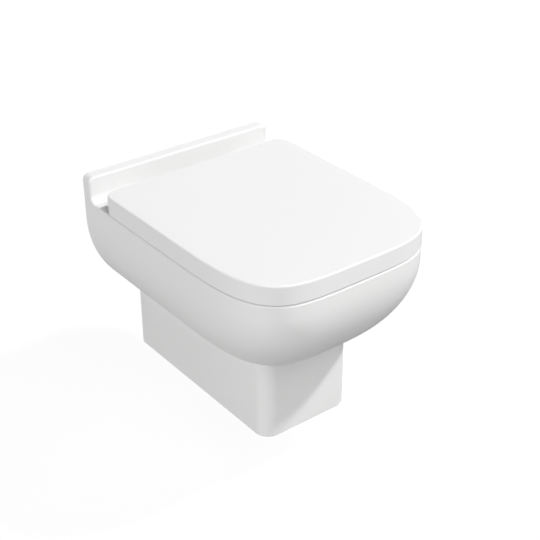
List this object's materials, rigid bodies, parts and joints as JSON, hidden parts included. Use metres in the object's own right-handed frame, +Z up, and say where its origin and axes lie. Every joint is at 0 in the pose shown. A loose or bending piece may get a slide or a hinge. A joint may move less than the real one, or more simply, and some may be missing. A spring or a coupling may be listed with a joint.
{
  "type": "wall hung toilet",
  "caption": "Compact wall hung toilet pan with a rectangular foot, a low upstand, a lift-off soft-close seat and a flat wrap-over lid.",
  "frame": {"origin": "centre of the two wall studs, on the wall plane", "axes": "+Y points into the wall, along the studs; the toilet faces -Y; +Z is up; +X is on the right seen from the front"},
  "size_m": [0.362, 0.479, 0.365],
  "materials": {
    "pan": "white gloss glaze",
    "seat": "white moulded thermoset, gloss",
    "housing": "white moulded plastic",
    "button": "light grey moulded plastic",
    "buffer": "translucent soft pad",
    "damper": "dark moulded plastic",
    "sleeve": "natural plastic",
    "rubber": "black rubber",
    "steel": "stainless steel"
  },
  "bodies": {
    "pan": {"pan_shell": "pan", "pan_back": "pan", "pan_basin": "pan", "pan_basin_back": "pan", "pan_basin_low": "pan", "pan_trapway": "pan", "pan_inlet": "pan", "pan_pedestal": "pan", "stud_sleeves": "sleeve", "hinge_gaskets": "rubber", "hinge_discs": "steel", "hinge_posts": "steel", "fixing_screws": "steel", "expansion_bushes": "rubber", "fixing_nuts": "steel"},
    "carrier": {"housing_left": "housing", "housing_right": "housing", "pivot_pins": "steel", "damper_shafts": "steel", "spring_left": "steel", "spring_right": "steel"},
    "seat": {"seat_ring": "seat", "seat_buffers": "buffer", "seat_damper": "damper", "seat_bush": "damper"},
    "lid": {"lid_shell": "seat", "lid_buffers": "buffer", "lid_damper": "damper", "lid_bush": "damper"},
    "button_left": {"button_left": "button"},
    "button_right": {"button_right": "button"}
  },
  "joints": [
    {"name": "carrier_lift", "type": "slide", "parent": "pan", "child": "carrier", "axis": [0, 0, 1], "range_m": [0, 0.03]},
    {"name": "seat_hinge", "type": "hinge", "parent": "carrier", "child": "seat", "pos_m": [0, -0.073, 0.097], "axis": [-1, 0, 0], "range_deg": [0, 95]},
    {"name": "lid_hinge", "type": "hinge", "parent": "seat", "child": "lid", "pos_m": [0, -0.073, 0.097], "axis": [1, 0, 0], "range_deg": [-95, 0]},
    {"name": "button_left_press", "type": "slide", "parent": "carrier", "child": "button_left", "axis": [0, 0, -1], "range_m": [0, 0.0025], "stiffness_N_per_m": 400, "deforming": ["spring_left"]},
    {"name": "button_right_press", "type": "slide", "parent": "carrier", "child": "button_right", "axis": [0, 0, -1], "range_m": [0, 0.0025], "stiffness_N_per_m": 400, "deforming": ["spring_right"]}
  ]
}
